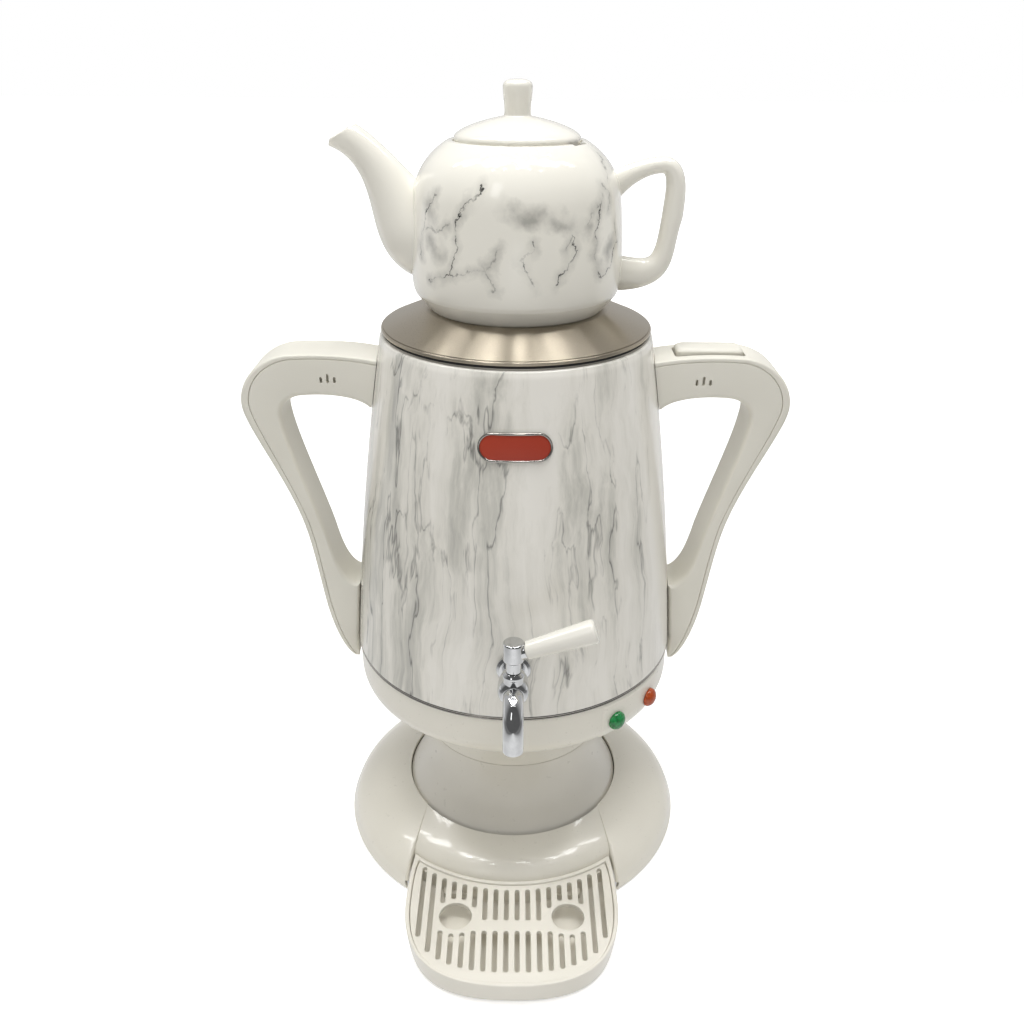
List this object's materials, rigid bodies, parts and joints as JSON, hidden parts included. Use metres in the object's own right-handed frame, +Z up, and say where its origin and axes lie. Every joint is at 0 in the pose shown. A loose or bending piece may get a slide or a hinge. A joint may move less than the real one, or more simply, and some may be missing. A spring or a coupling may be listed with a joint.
{
  "type": "electric samovar",
  "caption": "Electric samovar: a tapered marble-pattern boiler on a flared pedestal with two handles, a turn-lever tap, a drip tray with grille and a teapot on its conical lid.",
  "frame": {"origin": "on the boiler's vertical axis, on the plane that the rubber feet stand on", "axes": "+Z up along the boiler's axis; -Y towards the front, where the tap and the drip tray are; +X towards the handle with the switch"},
  "size_m": [0.354, 0.3218, 0.529],
  "materials": {
    "rubber": "matt black rubber",
    "base_plate": "dark moulded plastic",
    "base_cover": "glossy ivory plastic",
    "neck": "glossy ivory plastic",
    "bowl": "glossy ivory plastic",
    "trim": "polished plated metal",
    "shell": "printed and lacquered steel sheet with marble veins",
    "steel": "drawn stainless steel",
    "screws": "zinc plated steel",
    "heater": "cast aluminium",
    "element": "heat-tinted steel tube",
    "black_plastic": "matt black heat-proof plastic",
    "terminal": "unglazed steatite",
    "pins": "plated steel",
    "lamp_green": "clear green plastic",
    "lamp_orange": "clear orange plastic",
    "badge": "red enamel paint",
    "handle": "satin ivory plastic",
    "button": "satin ivory plastic",
    "lid_steel": "spun stainless steel",
    "seal": "black silicone rubber",
    "porcelain": "white glaze with grey marble veins",
    "porcelain_lid": "white glaze",
    "chrome": "polished chrome",
    "brass": "turned brass",
    "chrome_cap": "polished chrome",
    "lever": "glossy white plastic",
    "tray": "glossy ivory plastic",
    "grille": "glossy ivory plastic"
  },
  "bodies": {
    "housing": {"rubber_feet": "rubber", "base_plate": "base_plate", "base_cover": "base_cover", "base_screws": "screws", "neck_column": "neck", "neck_screws": "screws", "bowl_housing": "bowl", "bowl_screws": "screws", "trim_ring": "trim", "marble_shell": "shell", "inner_tank": "steel", "tank_studs": "screws", "tank_nuts": "screws", "heater_plate": "heater", "heating_element": "element", "dry_boil_cutout": "black_plastic", "terminal_block": "terminal", "power_inlet": "black_plastic", "inlet_pins": "pins", "lamp_green": "lamp_green", "lamp_orange": "lamp_orange", "lamp_sockets": "black_plastic", "badge_frame": "trim", "badge_plate": "badge", "handle_left_shell": "handle", "handle_left_cover": "handle", "handle_right_shell": "handle", "handle_right_cover": "handle", "handle_screws": "screws", "rocker_pin": "pins", "switch_block": "black_plastic", "tap_body": "chrome", "tap_flange": "chrome", "tap_gasket": "seal", "tap_spacer": "seal", "tap_washer": "seal", "tap_nut": "screws", "tap_bonnet": "chrome"},
    "switch_button": {"rocker_button": "button"},
    "boiler_lid": {"lid_cone": "lid_steel", "lid_skirt": "lid_steel", "lid_seal": "seal"},
    "teapot": {"teapot_body": "porcelain"},
    "teapot_cover": {"teapot_lid": "porcelain_lid"},
    "tap_valve": {"tap_plug": "brass", "tap_cap": "chrome_cap", "tap_lever": "lever"},
    "drip_tray": {"drip_tray": "tray"},
    "drip_grille": {"drip_grille": "grille"}
  },
  "joints": [
    {"name": "lid_lift", "type": "slide", "parent": "housing", "child": "boiler_lid", "axis": [0, 0, 1], "range_m": [0, 0.08]},
    {"name": "teapot_lift", "type": "slide", "parent": "boiler_lid", "child": "teapot", "axis": [0, 0, 1], "range_m": [0, 0.12]},
    {"name": "teapot_cover_lift", "type": "slide", "parent": "teapot", "child": "teapot_cover", "axis": [0, 0, 1], "range_m": [0, 0.05]},
    {"name": "tap_turn", "type": "hinge", "parent": "housing", "child": "tap_valve", "pos_m": [0, -0.13308, 0.199], "axis": [0, 0, 1], "range_deg": [-90, 0]},
    {"name": "switch_rock", "type": "hinge", "parent": "housing", "child": "switch_button", "pos_m": [0.1238, 0, 0.3637], "axis": [0, 1, 0], "range_deg": [-5, 5], "stiffness_Nm_per_rad": 0.3},
    {"name": "tray_pull", "type": "slide", "parent": "housing", "child": "drip_tray", "axis": [0, -1, 0], "range_m": [0, 0.12]},
    {"name": "grille_lift", "type": "slide", "parent": "drip_tray", "child": "drip_grille", "axis": [0, 0, 1], "range_m": [0, 0.04]}
  ]
}
